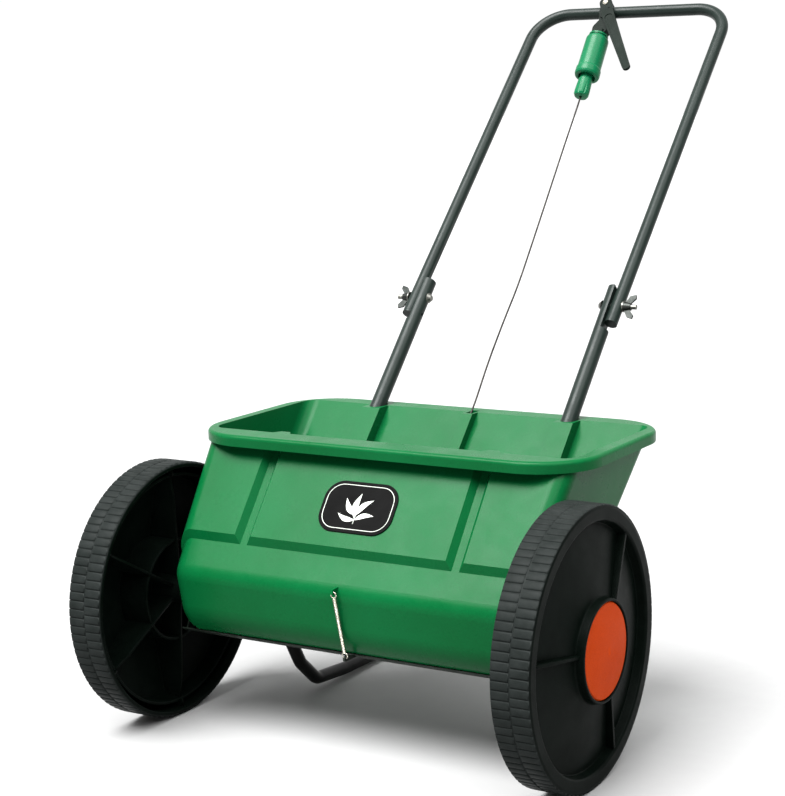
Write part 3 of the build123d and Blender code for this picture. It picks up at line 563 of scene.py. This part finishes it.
# half width, half height and corner radius of the border, in millimetres
border_size = (42.5, 26.5, 18.0)
leaf_steps = 14


def on_badge(x, y, lift):
    """A point from millimetres across, up and out from the middle of the badge's face."""
    out = Vector((0, -math.cos(badge_lean), math.sin(badge_lean)))
    up = Vector((0, math.sin(badge_lean), math.cos(badge_lean)))
    face = middle("badge") + out * (0.7 * MM)
    return face + Vector((1, 0, 0)) * (x * MM) + up * (y * MM) + out * (lift * MM)


def leaf(root_x, root_y, angle, length, width):
    """A flat leaf with a raised middle rib, from its root in a direction."""
    vertices = []
    for i in range(leaf_steps + 1):
        t = i / leaf_steps
        half = width / 2 * math.sin(math.pi * t ** 0.8) + 0.02
        bend = 0.12 * length * math.sin(math.pi * t)
        for offset, lift in ((-half, 0.12), (0.0, 0.45), (half, 0.12)):
            x = length * t
            y = offset + bend
            vertices.append(on_badge(
                root_x + x * math.cos(angle) - y * math.sin(angle),
                root_y + x * math.sin(angle) + y * math.cos(angle),
                lift,
            ))
    faces = []
    for i in range(leaf_steps):
        for k in range(2):
            a = i * 3 + k
            faces.append((a, a + 3, a + 4, a + 1))
    return vertices, faces


def badge_border():
    """The closed line of the border, with rounded corners."""
    half_x, half_y, corner = border_size
    border = []
    for quarter, (cx, cy) in enumerate(((1, 1), (-1, 1), (-1, -1), (1, -1))):
        for i in range(9):
            angle = math.pi / 2 * (quarter + i / 8)
            x = cx * (half_x - corner) + corner * math.cos(angle)
            y = cy * (half_y - corner) + corner * math.sin(angle)
            border.append(on_badge(x, y, 0.05))
    border.append(border[0])
    return border


def badge_marks():
    """A plain border and a sprig of leaves, raised a hair above the badge's face."""
    parts = [leaf(x, y, math.radians(degrees), length, width) for x, y, degrees, length, width in leaves]
    # stem and border are thin round beads
    stem = [on_badge(0, -20, 0.2), on_badge(0, -15, 0.2), on_badge(0, -9, 0.2)]
    parts.append(sweep(stem, round_section(0.5 * MM, 8)))
    parts.append(sweep(badge_border(), round_section(0.45 * MM, 8)))
    piece("badge_marks", mesh_from("badge_marks", *joined(parts)), "badge_plate", "frame", "sprig")


# ---- wheels ----
tread_teeth = 96
tread_depth = 1.3
bore_radius = 5.06
# where the ribs stand, in degrees from the rear, towards the top
front_rib_angles = (52, 172, 292)
back_rib_angles = range(30, 390, 60)
lathe_steps = 192


def rounded_outline(points, radius):
    """A closed outline with every corner rounded, by less where its sides are short."""
    rounded = []
    count = len(points)
    for i, corner in enumerate(points):
        corner = Vector(corner)
        before = Vector(points[i - 1])
        after = Vector(points[(i + 1) % count])
        reach = min(radius, 0.45 * (before - corner).length, 0.45 * (after - corner).length)
        start = corner + (before - corner).normalized() * reach
        end = corner + (after - corner).normalized() * reach
        for k in range(4):
            t = k / 3
            rounded.append(start.lerp(corner, t).lerp(corner.lerp(end, t), t))
    return rounded


def lathe(outline):
    """A closed outline of (x, radius) points turned about the axle's line."""
    vertices = []
    faces = []
    count = len(outline)
    for i in range(lathe_steps):
        angle = 2 * math.pi * i / lathe_steps
        for x, radius in outline:
            y = axle_centre.y + radius * math.cos(angle)
            z = axle_centre.z + radius * math.sin(angle)
            vertices.append((x, y, z))
        following = (i + 1) % lathe_steps
        for k in range(count):
            after = (k + 1) % count
            faces.append((i * count + k, i * count + after, following * count + after, following * count + k))
    return vertices, faces


def radial_rib(angle, outline, thickness, edge):
    """A rib square to the axle's radius: an outline of (x, radius), its long edges rounded over."""
    radial = Vector((0, math.cos(angle), math.sin(angle)))
    across = Vector((0, -math.sin(angle), math.cos(angle)))
    corners = [Vector(corner) for corner in outline]
    centre = sum(corners, Vector((0, 0))) / len(corners)
    half = thickness / 2
    vertices = []
    for offset, pull in ((-half, edge), (edge - half, 0.0), (half - edge, 0.0), (half, edge)):
        for corner in corners:
            x, radius = corner + (centre - corner).normalized() * pull
            vertices.append(Vector((x, axle_centre.y, axle_centre.z)) + radial * radius + across * offset)
    count = len(corners)
    faces = [tuple(reversed(range(count))), tuple(range(3 * count, 4 * count))]
    for layer in range(3):
        for k in range(count):
            following = (k + 1) % count
            faces.append((layer * count + k, layer * count + following,
                          (layer + 1) * count + following, (layer + 1) * count + k))
    return vertices, faces


def tread_bar(angle, pitch, x_span):
    """One bar across a row of the tread, crowned across its width and with sloped ends."""
    # share of the pitch, then the depth below the top and the end's slope, both in millimetres
    profile = [(-0.47, 1.7, 0.0), (-0.43, 0.6, 0.3), (-0.32, 0.12, 0.7), (0.0, 0.0, 0.8),
               (0.32, 0.12, 0.7), (0.43, 0.6, 0.3), (0.47, 1.7, 0.0)]
    vertices = []
    for x, way in zip(x_span, (1, -1)):
        for share, depth, slope in profile:
            turn = angle + share * pitch
            radius = wheel_radius - depth * MM
            vertices.append((x + way * slope * MM, axle_centre.y + radius * math.cos(turn),
                             axle_centre.z + radius * math.sin(turn)))
    count = len(profile)
    faces = [(k, k + 1, count + k + 1, count + k) for k in range(count - 1)]
    faces.append(tuple(reversed(range(count))))
    faces.append(tuple(range(count, 2 * count)))
    return vertices, faces


def wheel_section(x_in, x_out):
    """Half section of (x, radius) in metres: hollow rim, coned web and the hub's cup."""
    hub_in = wheel_low[0] - x_in
    core = wheel_radius / MM - tread_depth
    inner = [(0, 143.5), (0, 147.0), (1.5, core)]
    outer = [
        (-1.2, core), (0, 145.5), (0, 134.5), (-1.5, 132.5), (-10.5, 130.0),
        (3.5, 57.0), (4.5, 55.5), (12.6, 54.6), (13.4, 53.8), (13.4, 51.4), (-9.0, 51.4), (-9.0, bore_radius),
    ]
    hub = [(hub_in / MM, bore_radius), (hub_in / MM, 15.0)]
    back = [(-12.0, 17.0), (-12.0, 54.6), (0.4, 54.8), (-14.0, 130.6)]
    rim_wall = [(9.0, 133.0), (9.0, 136.5)]
    channel = [(-5.0, 137.5), (-5.0, 143.0)]
    corners = []
    for x_from, group in ((x_in, inner), (x_out, outer), (x_in, hub), (x_out, back),
                          (x_in, rim_wall), (x_out, channel)):
        corners += [(x_from + x * MM, radius * MM) for x, radius in group]
    return corners


def tread(x_in, x_out):
    """Two rows of bars round the rim, half a pitch apart."""
    middle_x = (x_in + x_out) / 2
    pitch = 2 * math.pi / tread_teeth
    rows = ((x_in + 1.2 * MM, middle_x - 0.7 * MM), (middle_x + 0.7 * MM, x_out - 0.8 * MM))
    return [
        tread_bar((i + 0.5 * row) * pitch, pitch, x_span)
        for row, x_span in enumerate(rows)
        for i in range(tread_teeth)
    ]


def wheel_ribs(x_in, x_out):
    """Three ribs on the dished face, and six pairs of deeper ones and a ring behind the web."""

    def outline(*corners):
        """Corners as (millimetres from a face, radius), from the face that each one names."""
        return [((x_in if face == "inner" else x_out) + x * MM, radius * MM) for face, x, radius in corners]

    front_rib = outline(("outer", -12, 131.5), ("outer", -1, 131.5), ("outer", 9, 54.2), ("outer", 2, 54.2))
    back_rib = outline(("inner", 10, 132), ("outer", -12.5, 130), ("outer", 2, 56), ("outer", -10.5, 53),
                       ("outer", -10.5, 14), ("inner", 2, 14), ("inner", 6, 110))
    rim_rib = outline(("inner", 6, 134), ("outer", -4, 134), ("outer", -4, 144), ("inner", 6, 144))
    ring = outline(("outer", 1, 57), ("inner", 5, 57), ("inner", 5, 60), ("outer", 1, 60))
    parts = [radial_rib(math.radians(degrees), front_rib, 4.0 * MM, 0.8 * MM) for degrees in front_rib_angles]
    for degrees in back_rib_angles:
        for rib in (back_rib, rim_rib):
            parts.append(radial_rib(math.radians(degrees), rib, 3.0 * MM, 0.5 * MM))
    parts.append(lathe(rounded_outline(ring, 0.6 * MM)))
    return parts


def wheel(side, body):
    """A moulded wheel: rim, coned web and hub, with its tread and ribs."""
    x_in, x_out = wheel_low[0] + 10.0 * MM, wheel_high[0] - 13.4 * MM
    moulding = lathe(rounded_outline(wheel_section(x_in, x_out), 1.0 * MM))
    vertices, faces = joined([moulding, *tread(x_in, x_out), *wheel_ribs(x_in, x_out)])
    if side < 0:
        vertices = [(-x, y, z) for x, y, z in vertices]
        faces = [tuple(reversed(face)) for face in faces]
    name = "wheel_right_moulding" if side > 0 else "wheel_left_moulding"
    obj = piece(name, mesh_from(name, vertices, faces), "wheel_plastic", body)
    settle_normals(obj)
    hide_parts("wheel_right" if side > 0 else "wheel_left")


def settle_normals(obj):
    """Outward faces, with shading that stays flat on flat faces."""
    mesh = bmesh.new()
    mesh.from_mesh(obj.data)
    bmesh.ops.recalc_face_normals(mesh, faces=mesh.faces)
    mesh.to_mesh(obj.data)
    mesh.free()
    for face in obj.data.polygons:
        face.use_smooth = True
    even = obj.modifiers.new("weighted normals", "WEIGHTED_NORMAL")
    even.weight = 80


paint_frame()
control_wires()
lever_wire()
spring()
badge_marks()
wheel(1, "drive_axle")
wheel(-1, "free_wheel")


# ---- stage, light and camera ----
def floor():
    """A plain floor, wide enough to reach the horizon: a mid grey that the lights bring up to white."""
    bpy.ops.mesh.primitive_plane_add(size=60.0)
    plane = bpy.context.object
    plane.name = "floor"
    m = Nodes("pale floor")
    m.colour(m.ramp(m.noise(3.0, 2.0), (0.3, (0.27, 0.27, 0.27)), (0.7, (0.29, 0.29, 0.29))))
    m.roughness(m.span(m.noise(40.0), 0.75, 0.85))
    plane.data.materials.append(m.material)


def far_light(name, toward, width, strength):
    """A broad round light far away: the direction towards it, and how wide it looks in degrees."""
    data = bpy.data.lights.new(name, "SUN")
    data.angle = math.radians(width)
    data.energy = strength
    light = bpy.data.objects.new(name, data)
    light.location = Vector(toward).normalized() * 4.0
    light.rotation_euler = Vector(toward).to_track_quat("Z", "Y").to_euler()
    bpy.context.scene.collection.objects.link(light)


# the surround's direction of greatest brightness, and its strength away from it and towards it
backdrop_direction = (-0.62, 0.73, 0.29)
room_strength = 0.28
backdrop_strength = 1.02


def studio():
    """Soft studio light: two broad lights above the front, and the surround."""
    far_light("key", (-0.24, -0.42, 0.875), 40.0, 9.5)
    far_light("fill", (0.42, -0.30, 0.86), 60.0, 4.0)
    surround()
    bpy.context.scene.view_settings.view_transform = "Standard"


def surround():
    """A white backdrop behind the object that fades to a dimmer room in front of it."""
    world = bpy.data.worlds.new("surround")
    bpy.context.scene.world = world
    world.use_nodes = True
    tree = world.node_tree
    direction = tree.nodes.new("ShaderNodeTexCoord")
    toward_backdrop = tree.nodes.new("ShaderNodeVectorMath")
    toward_backdrop.operation = "DOT_PRODUCT"
    toward_backdrop.inputs[1].default_value = backdrop_direction
    tree.links.new(direction.outputs["Generated"], toward_backdrop.inputs[0])
    strength = tree.nodes.new("ShaderNodeMapRange")
    strength.interpolation_type = "SMOOTHSTEP"
    strength.inputs["From Min"].default_value = -0.5
    strength.inputs["From Max"].default_value = 0.6
    strength.inputs["To Min"].default_value = room_strength
    strength.inputs["To Max"].default_value = backdrop_strength
    tree.links.new(toward_backdrop.outputs["Value"], strength.inputs["Value"])
    background = tree.nodes["Background"]
    background.inputs["Color"].default_value = (1.0, 1.0, 1.0, 1.0)
    tree.links.new(strength.outputs["Result"], background.inputs["Strength"])


def camera():
    """The camera, a little above the rim and round to the driven wheel's side."""
    azimuth, elevation, roll = math.radians(31.2), math.radians(9.6), math.radians(-1.42)
    distance = 2.105
    target = place(0, 84.9, 379.2)
    toward = Vector((
        math.sin(azimuth) * math.cos(elevation),
        -math.cos(azimuth) * math.cos(elevation),
        math.sin(elevation),
    ))
    right = (-toward).cross(Vector((0, 0, 1))).normalized()
    up = right.cross(-toward)
    across = right * math.cos(roll) + up * math.sin(roll)
    upward = up * math.cos(roll) - right * math.sin(roll)
    data = bpy.data.cameras.new("camera")
    data.lens = 85.0
    data.sensor_width = 36.0
    data.clip_end = 100.0
    eye = bpy.data.objects.new("camera", data)
    turn = Matrix((across, upward, toward)).transposed().to_4x4()
    eye.matrix_world = Matrix.Translation(target + toward * distance) @ turn
    bpy.context.scene.collection.objects.link(eye)
    bpy.context.scene.camera = eye


floor()
studio()
camera()
